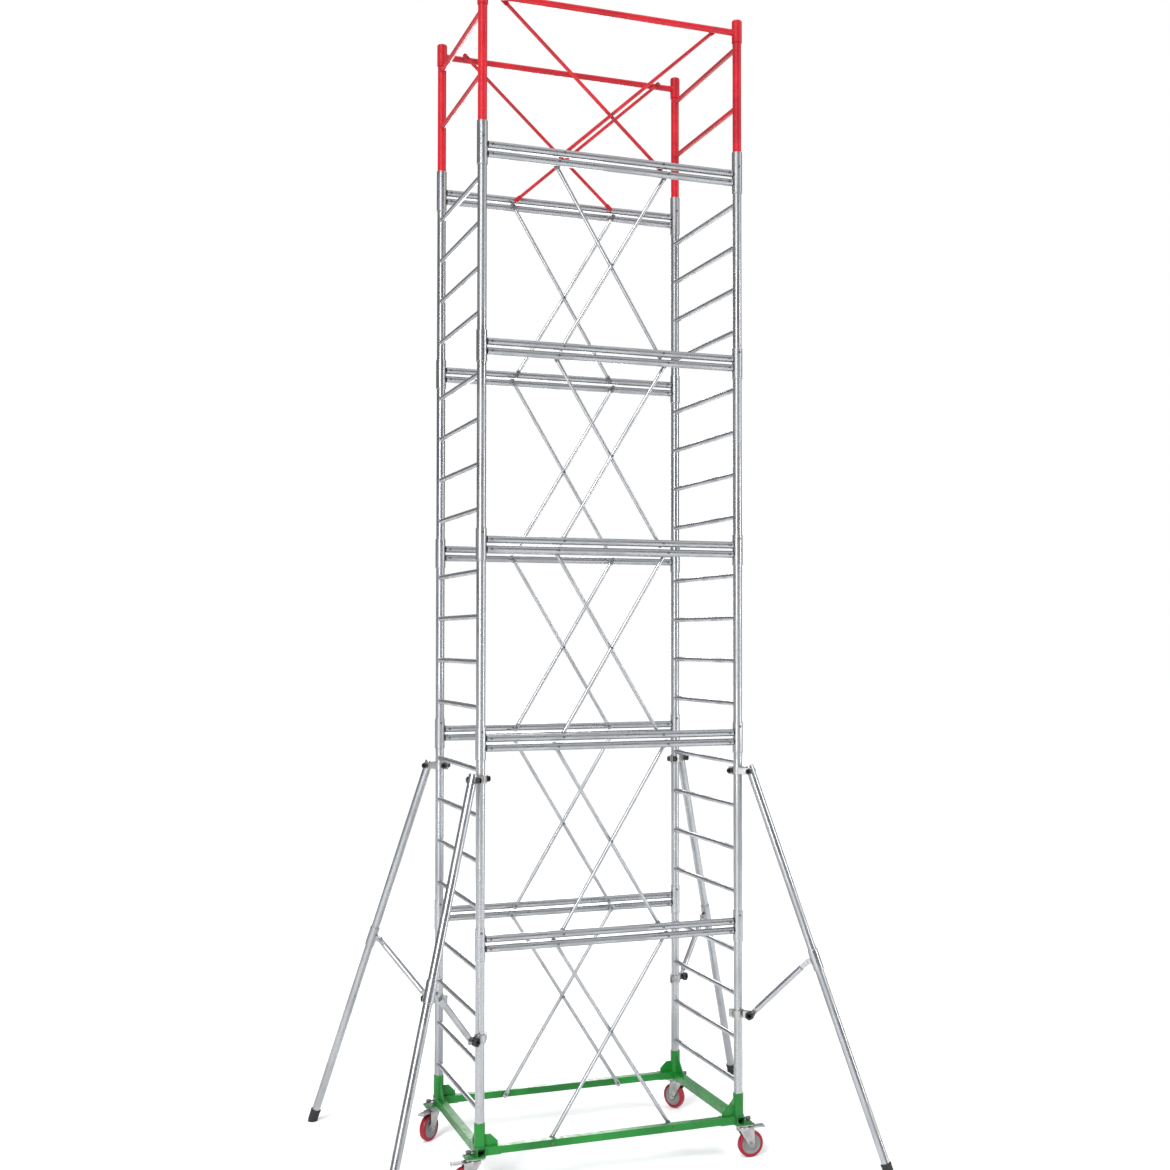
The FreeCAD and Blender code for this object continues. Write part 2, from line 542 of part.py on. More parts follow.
def caster_fork():
    """Pressed crown with two legs down to the axle and two ears for the pedal pin."""
    outside = FORK_INSIDE + FORK_PLATE
    crown = cylinder(CROWN_R, CROWN_TOP - CROWN_BOTTOM, V(0, 0, CROWN_BOTTOM), Z_AXIS)
    rims = [edge for edge in crown.Edges if edge.CenterOfMass.z > CROWN_TOP - 1 and edge.Closed]
    crown = crown.makeFillet(CROWN_EDGE, rims)
    legs = []
    eye = WHEEL_R / 4
    for sign in (-1, 1):
        y0 = sign * FORK_INSIDE if sign > 0 else -outside
        a = math.atan2(CROWN_BOTTOM - WHEEL_R, TRAIL + CROWN_BACK)
        back = V(TRAIL - eye * math.sin(a), y0, WHEEL_R - eye * math.cos(a))
        front = V(TRAIL + eye, y0, WHEEL_R)
        halfway = math.pi / 4 - a / 2
        low = V(TRAIL + eye * math.sin(halfway), y0, WHEEL_R - eye * math.cos(halfway))
        high = CROWN_BOTTOM + CROWN_ROOF
        ear = PEDAL_X + PEDAL_BARREL_R + EAR_AHEAD
        lines = [Part.LineSegment(V(-CROWN_BACK, y0, high), back), Part.Arc(back, low, front),
                 Part.LineSegment(front, V(ear, y0, PEDAL_Z - EAR_DOWN)),
                 Part.LineSegment(V(ear, y0, PEDAL_Z - EAR_DOWN), V(ear, y0, PEDAL_Z + EAR_UP)),
                 Part.LineSegment(V(ear, y0, PEDAL_Z + EAR_UP), V(PEDAL_X - EAR_BEHIND, y0, PEDAL_Z + EAR_UP)),
                 Part.LineSegment(V(PEDAL_X - EAR_BEHIND, y0, PEDAL_Z + EAR_UP), V(-CROWN_BACK, y0, high))]
        wire = Part.Wire([line.toShape() for line in lines])
        legs.append(Part.Face(wire).extrude(V(0, FORK_PLATE, 0)))
    roof = box(-CROWN_BACK, PEDAL_X - ROOF_END, -outside, outside, CROWN_BOTTOM, high)
    body = crown.fuse(legs + [roof])
    body = body.cut(cylinder(AXLE_R + RUNNING, 60, V(0, 0, CROWN_BOTTOM - 20), Z_AXIS))
    for x, z, radius in ((TRAIL, WHEEL_R, AXLE_R), (PEDAL_X, PEDAL_Z, PEDAL_PIN_R)):
        body = body.cut(cylinder(radius + RUNNING, 2 * outside + 2, V(x, -outside - 1, z), Y_AXIS))
    axle = bolt(AXLE_R, 2 * outside, V(TRAIL, -outside, WHEEL_R), Y_AXIS)
    pin = cylinder(PEDAL_PIN_R, 2 * outside + 4, V(PEDAL_X, -outside - 2, PEDAL_Z), Y_AXIS)
    for sign in (-1, 1):
        head = V(PEDAL_X, sign * outside, PEDAL_Z)
        pin = pin.fuse(cylinder(PEDAL_PIN_R * 1.6, 2, head, Y_AXIS * sign))
    return [body, axle, pin]


def caster_rim():
    """Moulded rim: outer ring, dished web and hub with the axle bore."""
    centre = V(TRAIL, 0, WHEEL_R)
    ring = tube(RIM_R, RIM_WALL, RIM_WIDTH, centre - Y_AXIS * RIM_WIDTH / 2, V(0, 1, 0))
    web = cylinder(RIM_R - 4, WEB_THICK, centre - Y_AXIS * WEB_THICK / 2, Y_AXIS)
    hub = cylinder(HUB_R, HUB_WIDTH, centre - Y_AXIS * HUB_WIDTH / 2, Y_AXIS)
    rim = ring.fuse([web, hub])
    for pocket in range(POCKET_COUNT):
        a = math.radians(360.0 / POCKET_COUNT * pocket)
        spot = centre + V(math.cos(a), 0, math.sin(a)) * (RIM_R * POCKET_SHARE)
        rim = rim.cut(cylinder(POCKET_R, WEB_THICK + 2, spot - Y_AXIS * (WEB_THICK / 2 + 1), Y_AXIS))
    return rim.cut(cylinder(AXLE_R + RUNNING, HUB_WIDTH + 2, centre - Y_AXIS * (HUB_WIDTH / 2 + 1), Y_AXIS))


def caster_tyre():
    centre = V(TRAIL, 0, WHEEL_R)
    tyre = cylinder(WHEEL_R, TREAD_WIDTH, centre - Y_AXIS * TREAD_WIDTH / 2, Y_AXIS)
    tyre = tyre.makeFillet(TREAD_EDGE, [edge for edge in tyre.Edges if edge.Closed])
    return tyre.cut(cylinder(RIM_R, TREAD_WIDTH + 2, centre - Y_AXIS * (TREAD_WIDTH / 2 + 1), Y_AXIS))


def caster_pedal():
    """Brake pedal: barrel on its pin, tread plate with a turned-down tip, and brake shoe."""
    half = PEDAL_WIDTH / 2
    barrel = cylinder(PEDAL_BARREL_R, PEDAL_WIDTH, V(PEDAL_X, -half, PEDAL_Z), Y_AXIS)
    top = PEDAL_Z + PEDAL_BARREL_R
    end = PEDAL_X + PEDAL_LENGTH
    plate = box(PEDAL_X, end, -half, half, top - PEDAL_THICK, top)
    tip = box(end - PEDAL_THICK, end, -half, half, top - PEDAL_TIP, top)
    ribs = [box(PEDAL_X, end - PEDAL_RIB_END, y, y + PEDAL_RIB, top - PEDAL_RIB_DEPTH, top - PEDAL_THICK / 2)
            for y in (-half, half - PEDAL_RIB)]
    shoe = box(PEDAL_X - SHOE_LENGTH / 2, PEDAL_X + SHOE_LENGTH / 2, -SHOE_WIDTH / 2, SHOE_WIDTH / 2,
               PEDAL_Z - SHOE_DROP, PEDAL_Z)
    pedal = barrel.fuse([plate, tip, shoe] + ribs)
    return pedal.cut(cylinder(PEDAL_PIN_R + RUNNING, PEDAL_WIDTH + 2, V(PEDAL_X, -half - 1, PEDAL_Z), Y_AXIS))


def make_casters():
    groups = {"fork": caster_fork(), "rim": [caster_rim()],
              "tyre": [caster_tyre()], "pedal": [caster_pedal()]}
    plates = []
    for corner, (side, across) in CORNERS.items():
        centre = V(side * (HALF_X + CASTER_SHIFT), across * HALF_Y, 0)
        fixed = caster_plate()
        bolts = []
        for hx, hy in plate_bolts():
            spot = V(hx, hy, CASTER_HEIGHT - CASTER_PLATE)
            fixed = fixed.cut(cylinder(BOLT_R + BOLT_PLAY, 2 * CASTER_PLATE, spot - Z_AXIS, Z_AXIS))
            grip = CASTER_PLATE + BASE_PLATE + (SIDE_BEAM_WALL if (hx, hy) in under_beam_bolts() else 0)
            bolts.append(bolt(BOLT_R, grip, spot, Z_AXIS))
        plates += [turned(shape, 0 if side > 0 else 180, centre) for shape in [fixed] + bolts]
        for name, shapes in groups.items():
            save(f"caster_{corner}_{name}", [turned(shape, CASTER_TURN[corner], centre) for shape in shapes])
    save("caster_plates", plates)


# ---- outriggers ------------------------------------------------------------------------------
# Each outrigger is drawn in the X-Z plane: the post axis is the Z axis and the foot lies along +X.

def clamp(z, cheek_inside):
    """A split ring round the post with two ears at the back and two cheeks towards the pivot."""
    ring = cylinder(POST_R + CLAMP_FIT + CLAMP_WALL, CLAMP_HEIGHT, V(0, 0, z - CLAMP_HEIGHT / 2), Z_AXIS)
    back = -(POST_R + CLAMP_FIT + CLAMP_WALL)
    parts = []
    for sign in (-1, 1):
        y0, y1 = sorted((sign * CLAMP_SLIT / 2, sign * (CLAMP_SLIT / 2 + EAR_THICK)))
        parts.append(box(back - EAR_LENGTH + 4, back + 6, y0, y1, z - CLAMP_HEIGHT / 2, z + CLAMP_HEIGHT / 2))
        c0, c1 = sorted((sign * cheek_inside, sign * (cheek_inside + CHEEK_THICK)))
        cheek = box(0, CLAMP_PIVOT, c0, c1, z - CHEEK_R, z + CHEEK_R)
        parts.append(cheek.fuse(cylinder(CHEEK_R, c1 - c0, V(CLAMP_PIVOT, c0, z), Y_AXIS)))
    body = ring.fuse(parts)
    body = body.cut(cylinder(POST_R + CLAMP_FIT, CLAMP_HEIGHT + 2, V(0, 0, z - CLAMP_HEIGHT / 2 - 1), Z_AXIS))
    body = body.cut(box(2 * back, 0, -CLAMP_SLIT / 2, CLAMP_SLIT / 2, z - CLAMP_HEIGHT, z + CLAMP_HEIGHT))
    reach = cheek_inside + CHEEK_THICK
    body = body.cut(cylinder(PIVOT_R + RUNNING, 2 * reach + 2, V(CLAMP_PIVOT, -reach - 1, z), Y_AXIS))
    ear_x = back - EAR_LENGTH / 2 + 4
    ear_reach = CLAMP_SLIT / 2 + EAR_THICK
    body = body.cut(cylinder(BOLT_R + BOLT_PLAY, 2 * ear_reach + 2, V(ear_x, -ear_reach - 1, z), Y_AXIS))
    ear_bolt = bolt(BOLT_R, 2 * ear_reach, V(ear_x, -ear_reach, z), Y_AXIS)
    pivot = bolt(PIVOT_R, 2 * reach, V(CLAMP_PIVOT, -reach, z), Y_AXIS)
    return body, ear_bolt, pivot


def leg_point(distance, inward=0.0):
    """A point at a distance down the leg from its pivot, and off its axis towards the tower."""
    s, c = math.sin(LEG_ANGLE), math.cos(LEG_ANGLE)
    return V(CLAMP_PIVOT + distance * s - inward * c, 0, TOP_CLAMP_Z - distance * c - inward * s)


def leg():
    down = (leg_point(1) - leg_point(0)).normalize()
    length = LEG_HEAD + LEG_LENGTH - FOOT_FLOOR
    shape = cylinder(LEG_R, length, leg_point(-LEG_HEAD), down)
    head = [edge for edge in shape.Edges if edge.Closed and edge.CenterOfMass.z > TOP_CLAMP_Z]
    shape = shape.makeFillet(LEG_CAP, head)
    shape = shape.cut(cylinder(LEG_R - LEG_WALL, length, leg_point(-LEG_HEAD + LEG_CAP), down))
    return shape.cut(cylinder(PIVOT_R + RUNNING, 80, V(CLAMP_PIVOT, -40, TOP_CLAMP_Z), Y_AXIS))


def collar():
    """A sleeve on the leg with two cheeks for the strut; its pivot studs end inside the cheeks."""
    down = (leg_point(1) - leg_point(0)).normalize()
    middle = COLLAR_SHARE * LEG_LENGTH
    start = leg_point(middle - COLLAR_LENGTH / 2)
    ring = cylinder(COLLAR_R, COLLAR_LENGTH, start, down)
    pivot = leg_point(middle, COLLAR_PIVOT)
    inside = TONGUE_THICK / 2 + TONGUE_PLAY
    turn = FreeCAD.Rotation(Y_AXIS, -math.degrees(LEG_ANGLE))
    cheeks, studs = [], []
    for sign in (-1, 1):
        y0 = sign * inside if sign > 0 else -inside - CHEEK_THICK
        cheek = Part.makeBox(COLLAR_PIVOT, CHEEK_THICK, 2 * TONGUE_R, V(0, y0, -TONGUE_R))
        cheek = cheek.fuse(Part.makeCylinder(TONGUE_R, CHEEK_THICK, V(0, y0, 0), Y_AXIS))
        cheek.Placement = FreeCAD.Placement(pivot, turn)
        cheeks.append(cheek)
        outer = inside + CHEEK_THICK
        face = pivot + Y_AXIS * sign * outer
        studs.append(hexagon(PIVOT_R * NUT_WIDTH, PIVOT_R * NUT_THICK, face, Y_AXIS * sign))
    body = ring.fuse(cheeks)
    bore_start = leg_point(middle - COLLAR_LENGTH)
    body = body.cut(cylinder(LEG_R + BOLT_PLAY, 2 * COLLAR_LENGTH, bore_start, down))
    return [body] + studs


def strut():
    foot, head = V(CLAMP_PIVOT, 0, LOW_CLAMP_Z), leg_point(COLLAR_SHARE * LEG_LENGTH, COLLAR_PIVOT)
    run = head - foot
    along = V(run).normalize()
    body = cylinder(STRUT_R, run.Length - 2 * TONGUE_LENGTH, foot + along * TONGUE_LENGTH, along)
    turn = FreeCAD.Rotation(X_AXIS, along)
    for end, inward in ((foot, 1), (head, -1)):
        tongue = Part.makeBox(TONGUE_LENGTH + 12, TONGUE_THICK, 2 * TONGUE_R,
                              V(0 if inward > 0 else -TONGUE_LENGTH - 12, -TONGUE_THICK / 2, -TONGUE_R))
        tongue = tongue.fuse(Part.makeCylinder(TONGUE_R, TONGUE_THICK, V(0, -TONGUE_THICK / 2, 0), Y_AXIS))
        tongue.Placement = FreeCAD.Placement(end, turn)
        hole = cylinder(PIVOT_R + RUNNING, TONGUE_THICK + 2, end - Y_AXIS * (TONGUE_THICK / 2 + 1), Y_AXIS)
        body = body.fuse(tongue).cut(hole)
    return body


def foot():
    """A rubber cap on the end of the leg, cut flat where it stands on the floor."""
    down = (leg_point(1) - leg_point(0)).normalize()
    shape = cylinder(FOOT_R, FOOT_LENGTH + FOOT_R, leg_point(LEG_LENGTH - FOOT_LENGTH), down)
    shape = shape.cut(cylinder(LEG_R, FOOT_LENGTH - FOOT_FLOOR, leg_point(LEG_LENGTH - FOOT_LENGTH), down))
    reach = 2 * OUTRIGGER_REACH
    return shape.cut(box(0, reach, -reach, reach, -reach, 0))


def knob(sign):
    """A lobed hand knob on the strut pivot."""
    start = TONGUE_THICK / 2 + TONGUE_PLAY + CHEEK_THICK + PIVOT_R * NUT_THICK
    base = V(CLAMP_PIVOT, sign * start, LOW_CLAMP_Z)
    shape = cylinder(KNOB_R, KNOB_THICK, base, Y_AXIS * sign)
    for lobe in range(KNOB_LOBES):
        a = math.radians(360.0 / KNOB_LOBES * lobe)
        spot = base + V(math.cos(a), 0, math.sin(a)) * (KNOB_R + SCALLOP_OUT)
        shape = shape.cut(cylinder(SCALLOP_R, KNOB_THICK, spot, Y_AXIS * sign))
    return shape.makeFillet(KNOB_EDGE, [edge for edge in shape.Edges if abs(edge.tangentAt(0).y) < 0.1])


def make_outriggers():
    top_body, top_ear, top_pivot = clamp(TOP_CLAMP_Z, LEG_R + LEG_SIDE_PLAY)
    low_body, low_ear, low_pivot = clamp(LOW_CLAMP_Z, TONGUE_THICK / 2 + TONGUE_PLAY)
    groups = {"top_clamp": [top_body, top_ear, top_pivot], "low_clamp": [low_body, low_ear, low_pivot],
              "leg": [leg()] + collar(), "foot": [foot()], "strut": [strut()]}
    for corner, (side, across) in CORNERS.items():
        azimuth = across * OUTRIGGER_ANGLE if side > 0 else 180 - across * OUTRIGGER_ANGLE
        centre = V(side * HALF_X, across * HALF_Y, 0)
        for name, shapes in groups.items():
            save(f"outrigger_{corner}_{name}", [turned(shape, azimuth, centre) for shape in shapes])
        save(f"outrigger_{corner}_knob", [turned(knob(-side), azimuth, centre)])


os.makedirs("parts", exist_ok=True)
make_ladder_frames()
make_ledgers()
make_guardrail(make_braces_and_bolts())
make_base()
make_casters()
make_outriggers()
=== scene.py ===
import json
import math
import bmesh
import bpy
from mathutils import Matrix, Vector


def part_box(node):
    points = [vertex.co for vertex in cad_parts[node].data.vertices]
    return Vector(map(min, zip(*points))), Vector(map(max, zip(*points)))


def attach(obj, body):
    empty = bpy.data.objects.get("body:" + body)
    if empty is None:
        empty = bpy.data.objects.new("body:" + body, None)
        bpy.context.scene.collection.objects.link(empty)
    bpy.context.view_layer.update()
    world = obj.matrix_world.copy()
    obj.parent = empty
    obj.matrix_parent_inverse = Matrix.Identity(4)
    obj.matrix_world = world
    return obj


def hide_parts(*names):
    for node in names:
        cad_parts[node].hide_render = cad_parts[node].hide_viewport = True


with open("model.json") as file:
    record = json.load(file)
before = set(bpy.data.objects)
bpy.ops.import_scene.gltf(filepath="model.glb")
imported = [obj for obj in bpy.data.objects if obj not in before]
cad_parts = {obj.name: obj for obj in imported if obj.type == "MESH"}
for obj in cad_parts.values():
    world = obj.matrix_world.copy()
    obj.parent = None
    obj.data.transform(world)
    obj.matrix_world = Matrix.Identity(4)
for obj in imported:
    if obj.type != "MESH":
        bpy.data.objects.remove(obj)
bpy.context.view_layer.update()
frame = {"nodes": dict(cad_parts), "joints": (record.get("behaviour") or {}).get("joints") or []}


# ---- Galvanised tube ------------------------------------------------------------------
# Ladder frames, ledgers, braces and outrigger legs are steel tube dipped in zinc.
# The zinc sets in faint crystals, runs a little while hot, and dulls unevenly outdoors.

def new_group(name, inputs, outputs):
    """A shader node group with named inputs (type, name, value) and outputs (type, name)."""
    group = bpy.data.node_groups.new(name, "ShaderNodeTree")
    for kind, label, value in inputs:
        socket = group.interface.new_socket(name=label, in_out="INPUT", socket_type=kind)
        socket.default_value = value
    for kind, label in outputs:
        group.interface.new_socket(name=label, in_out="OUTPUT", socket_type=kind)
    return group, group.nodes.new("NodeGroupInput"), group.nodes.new("NodeGroupOutput")


def add_node(tree, kind, **settings):
    node = tree.nodes.new(kind)
    for name, value in settings.items():
        setattr(node, name, value)
    return node


def ramp(tree, source, low, high, low_value=0.0, high_value=1.0):
    """Maps a value between two bounds, with a smooth step."""
    node = add_node(tree, "ShaderNodeMapRange", interpolation_type="SMOOTHSTEP")
    tree.links.new(source, node.inputs["Value"])
    for label, value in (("From Min", low), ("From Max", high), ("To Min", low_value), ("To Max", high_value)):
        node.inputs[label].default_value = value
    return node.outputs["Result"]


def stretched_noise(tree, scale, stretch, detail=3.0, rough=0.55):
    """Noise over the object's own metres, stretched by a factor along X, Y and Z."""
    place = tree.nodes.new("ShaderNodeTexCoord")
    mapping = tree.nodes.new("ShaderNodeMapping")
    mapping.inputs["Scale"].default_value = stretch
    noise = tree.nodes.new("ShaderNodeTexNoise")
    noise.inputs["Scale"].default_value = scale
    noise.inputs["Detail"].default_value = detail
    noise.inputs["Roughness"].default_value = rough
    tree.links.new(place.outputs["Object"], mapping.inputs["Vector"])
    tree.links.new(mapping.outputs["Vector"], noise.inputs["Vector"])
    return noise.outputs["Fac"]


def mix_colour(tree, mask, first, second):
    node = add_node(tree, "ShaderNodeMix", data_type="RGBA")
    tree.links.new(mask, node.inputs["Factor"])
    for socket, value in ((node.inputs[6], first), (node.inputs[7], second)):
        if isinstance(value, tuple):
            socket.default_value = (*value, 1.0)
        else:
            tree.links.new(value, socket)
    return node.outputs[2]


def maths(tree, operation, first, second=0.0):
    node = add_node(tree, "ShaderNodeMath", operation=operation)
    for socket, value in zip(node.inputs, (first, second)):
        if isinstance(value, (int, float)):
            socket.default_value = value
        else:
            tree.links.new(value, socket)
    return node.outputs[0]


def make_edge_wear():
    """A mask that is high on worn outer edges, and a normal that rounds them."""
    group, given, result = new_group(
        "edge_wear",
        [("NodeSocketFloat", "Radius", 0.0015), ("NodeSocketFloat", "Breakup", 90.0)],
        [("NodeSocketFloat", "Mask"), ("NodeSocketVector", "Normal")])
    bevel = add_node(group, "ShaderNodeBevel", samples=4)
    shape = group.nodes.new("ShaderNodeNewGeometry")
    dot = add_node(group, "ShaderNodeVectorMath", operation="DOT_PRODUCT")
    noise = group.nodes.new("ShaderNodeTexNoise")
    place = group.nodes.new("ShaderNodeTexCoord")
    noise.inputs["Detail"].default_value = 4.0
    group.links.new(given.outputs["Radius"], bevel.inputs["Radius"])
    group.links.new(given.outputs["Breakup"], noise.inputs["Scale"])
    group.links.new(place.outputs["Object"], noise.inputs["Vector"])
    group.links.new(bevel.outputs["Normal"], dot.inputs[0])
    group.links.new(shape.outputs["Normal"], dot.inputs[1])
    edge = ramp(group, dot.outputs["Value"], 0.99, 0.86)
    patchy = ramp(group, noise.outputs["Fac"], 0.42, 0.60)
    group.links.new(maths(group, "MULTIPLY", edge, patchy), result.inputs["Mask"])
    group.links.new(bevel.outputs["Normal"], result.inputs["Normal"])
    return group


EDGE_WEAR = make_edge_wear()


def new_material(name, metallic, roughness, **constants):
    """An empty finish: the material, its tree and its Principled shader with fixed values set."""
    material = bpy.data.materials.new(name)
    material.use_nodes = True
    tree = material.node_tree
    shader = tree.nodes["Principled BSDF"]
    shader.inputs["Metallic"].default_value = metallic
    shader.inputs["Roughness"].default_value = roughness
    for label, value in constants.items():
        shader.inputs[label.replace("_", " ")].default_value = value
    return material, tree, shader


def edge_wear(tree, radius, breakup):
    node = tree.nodes.new("ShaderNodeGroup")
    node.node_tree = EDGE_WEAR
    node.inputs["Radius"].default_value = radius
    node.inputs["Breakup"].default_value = breakup
    return node.outputs["Mask"], node.outputs["Normal"]


def bump(tree, height, strength, distance, normal=None):
    node = tree.nodes.new("ShaderNodeBump")
    node.inputs["Strength"].default_value = strength
    node.inputs["Distance"].default_value = distance
    tree.links.new(height, node.inputs["Height"])
    if normal is not None:
        tree.links.new(normal, node.inputs["Normal"])
    return node.outputs["Normal"]


def galvanised_tube(name, light, dark, spangle_scale=150.0, roughness=0.30):
    """Zinc-dipped steel: crystals, hot-dip runs and dull patches over a light and a dark grey."""
    material, tree, shader = new_material(name, 1.0, roughness)
    place = tree.nodes.new("ShaderNodeTexCoord")
    crystals = add_node(tree, "ShaderNodeTexVoronoi", feature="F1")
    crystals.inputs["Scale"].default_value = spangle_scale
    tree.links.new(place.outputs["Object"], crystals.inputs["Vector"])
    tone = add_node(tree, "ShaderNodeSeparateColor")
    tree.links.new(crystals.outputs["Color"], tone.inputs[0])
    patches = stretched_noise(tree, 7.0, (1.0, 1.0, 0.35))
    runs = stretched_noise(tree, 60.0, (1.0, 1.0, 0.06), detail=2.0)
    dull = ramp(tree, patches, 0.42, 0.66)
    crystal_tone = mix_colour(tree, ramp(tree, tone.outputs[0], 0.1, 0.9, 0.0, 0.16), light, dark)
    coloured = mix_colour(tree, maths(tree, "MULTIPLY", dull, 0.45), crystal_tone, dark)
    tree.links.new(coloured, shader.inputs["Base Color"])
    rough = maths(tree, "ADD", ramp(tree, patches, 0.35, 0.70, roughness - 0.06, roughness + 0.14),
                  ramp(tree, tone.outputs[1], 0.0, 1.0, -0.03, 0.05))
    tree.links.new(rough, shader.inputs["Roughness"])
    worn, rounded = edge_wear(tree, 0.0012, 120.0)
    height = maths(tree, "ADD", maths(tree, "MULTIPLY", runs, 0.6), maths(tree, "MULTIPLY", worn, 0.2))
    tree.links.new(bump(tree, height, 0.10, 0.0005, rounded), shader.inputs["Normal"])
    return material


GALVANISED = galvanised_tube("galvanised_tube", (0.43, 0.44, 0.455), (0.25, 0.255, 0.265))


def dress(node, material):
    """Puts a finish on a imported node."""
    slots = frame["nodes"][node].material_slots
    if not slots:
        frame["nodes"][node].data.materials.append(material)
    for slot in slots:
        slot.material = material


FRAMES = [f"ladder_frame_{level}_{side}" for level in range(1, 6) for side in ("left", "right")]
CORNERS = ("front_left", "front_right", "rear_left", "rear_right")
for name in FRAMES + ["ledger_tubes", "brace_rods"]:
    dress(name, GALVANISED)


# ---- Weld beads on the ladder frames ----------------------------------------------------
# Each rung is welded all round where it meets its post, and each sleeve where it grips the
# post below. The beads are laid by hand, so they ripple, and the zinc covers them.

def start_clean():
    bpy.ops.object.select_all(action="DESELECT")


def join_copies(name, master, places, material, body):
    """Copies a finished mesh to each place (a matrix) and makes the copies one piece on a body."""
    whole = bmesh.new()
    for place in places:
        part = master.data.copy()
        part.transform(place)
        if place.determinant() < 0:
            part.flip_normals()
        whole.from_mesh(part)
        bpy.data.meshes.remove(part)
    mesh = bpy.data.meshes.new(name)
    whole.to_mesh(mesh)
    whole.free()
    piece = bpy.data.objects.new(name, mesh)
    bpy.context.collection.objects.link(piece)
    piece.data.materials.append(material)
    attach(piece, body)
    return piece


def weld_ring(ring_radius, bead_radius, ripples, saddle_radius=0.0):
    """A rippled bead round the Y axis; with a saddle radius it follows a post that runs along Z."""
    start_clean()
    bpy.ops.mesh.primitive_torus_add(major_radius=ring_radius, minor_radius=bead_radius,
                                     major_segments=48, minor_segments=8, rotation=(math.pi / 2, 0, 0))
    ring = bpy.context.object
    bpy.ops.object.transform_apply(location=True, rotation=True, scale=True)
    for vertex in ring.data.vertices:
        x, y, z = vertex.co
        turn = math.atan2(z, x)
        swell = 1 + 0.035 * math.sin(ripples * turn)
        vertex.co = (x * swell, y, z * swell)
        if saddle_radius:
            vertex.co.y += math.sqrt(saddle_radius ** 2 - min(abs(x), saddle_radius) ** 2) - saddle_radius
    bpy.ops.object.shade_smooth()
    return ring


frame_boxes = {name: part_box(name) for name in FRAMES}
RUNG_RADIUS = 0.014
POST_RADIUS = 0.025
SLEEVE_RADIUS = 0.0294
SLEEVE_DROP = 0.085
MODULE = 1.066
FIRST_RUNG = 0.190
RUNG_PITCH = 0.244
POST_X = 0.75
POST_Y = 0.48
FOOT_Z = frame_boxes["ladder_frame_1_left"][0].z
JOINTS = [FOOT_Z + MODULE * level for level in range(1, 6)]

rung_spots = []
for level in range(5):
    for rung in range(4):
        z = FOOT_Z + MODULE * level + FIRST_RUNG + RUNG_PITCH * rung
        rung_spots += [(x, z) for x in (-POST_X, POST_X)]
rung_places = []
for x, z in rung_spots:
    near_end = Matrix.Translation((x, -POST_Y + POST_RADIUS, z))
    rung_places += [near_end, Matrix.Diagonal((1, -1, 1, 1)) @ near_end]
rung_bead = weld_ring(RUNG_RADIUS + 0.0012, 0.0024, 22, POST_RADIUS)
join_copies("rung_weld_beads", rung_bead, rung_places, GALVANISED, "root")

upright = Matrix.Rotation(math.pi / 2, 4, "X")
sleeve_places = [Matrix.Translation((x, y, z - SLEEVE_DROP)) @ upright
                 for x in (-POST_X, POST_X) for y in (-POST_Y, POST_Y) for z in JOINTS]
sleeve_bead = weld_ring(POST_RADIUS + 0.0018, 0.0027, 34)
join_copies("sleeve_weld_beads", sleeve_bead, sleeve_places, GALVANISED, "root")
bpy.data.objects.remove(sleeve_bead)


# ---- Bolts and rivets ----------------------------------------------------------------------
# The ledger and brace bolts are dark, oiled steel; the bolts sit as packed.

def oiled_steel(name, colour, roughness):
    """Dark steel with a thin oil film: uneven gloss and brighter worn corners."""
    material, tree, shader = new_material(name, 1.0, roughness)
    film = stretched_noise(tree, 55.0, (1.0, 1.0, 1.0))
    worn, rounded = edge_wear(tree, 0.0008, 300.0)
    bright = tuple(min(1.0, channel * 2.6) for channel in colour)
    tree.links.new(mix_colour(tree, worn, colour, bright), shader.inputs["Base Color"])
    tree.links.new(ramp(tree, film, 0.3, 0.7, roughness - 0.1, roughness + 0.15), shader.inputs["Roughness"])
    tree.links.new(bump(tree, film, 0.15, 0.0003, rounded), shader.inputs["Normal"])
    return material


OILED = oiled_steel("oiled_steel", (0.16, 0.16, 0.17), 0.42)
dress("frame_bolts", OILED)


# ---- Painted guardrail and base ----------------------------------------------------------------
# The guardrail is red and the wheeled base is green. Both are steel under gloss enamel,
# chipped to grey metal along edges and rubbed dull where hands and boots pass.

def enamel(name, colour, deep, chip, roughness, wear_radius):
    """Gloss enamel: tone drift, orange peel, rubbed patches and chipped edges."""
    material, tree, shader = new_material(name, 0.0, roughness, Coat_Weight=0.12, Coat_Roughness=0.15,
                                          Specular_IOR_Level=0.32)
    drift = stretched_noise(tree, 3.5, (1.0, 1.0, 1.0))
    peel = stretched_noise(tree, 420.0, (1.0, 1.0, 1.0), detail=2.0)
    rub = stretched_noise(tree, 26.0, (1.0, 1.0, 1.0), detail=6.0, rough=0.7)
    worn, rounded = edge_wear(tree, wear_radius, 70.0)
    specks = maths(tree, "MULTIPLY", ramp(tree, rub, 0.69, 0.73), 0.9)
    chipped = maths(tree, "MAXIMUM", worn, specks)
    paint = mix_colour(tree, ramp(tree, drift, 0.35, 0.65), colour, deep)
    tree.links.new(mix_colour(tree, chipped, paint, chip), shader.inputs["Base Color"])
    tree.links.new(maths(tree, "MULTIPLY", chipped, 0.8), shader.inputs["Metallic"])
    tree.links.new(ramp(tree, rub, 0.40, 0.72, roughness - 0.05, roughness + 0.22), shader.inputs["Roughness"])
    height = maths(tree, "SUBTRACT", maths(tree, "MULTIPLY", peel, 0.35), chipped)
    tree.links.new(bump(tree, height, 0.35, 0.0004, rounded), shader.inputs["Normal"])
    return material


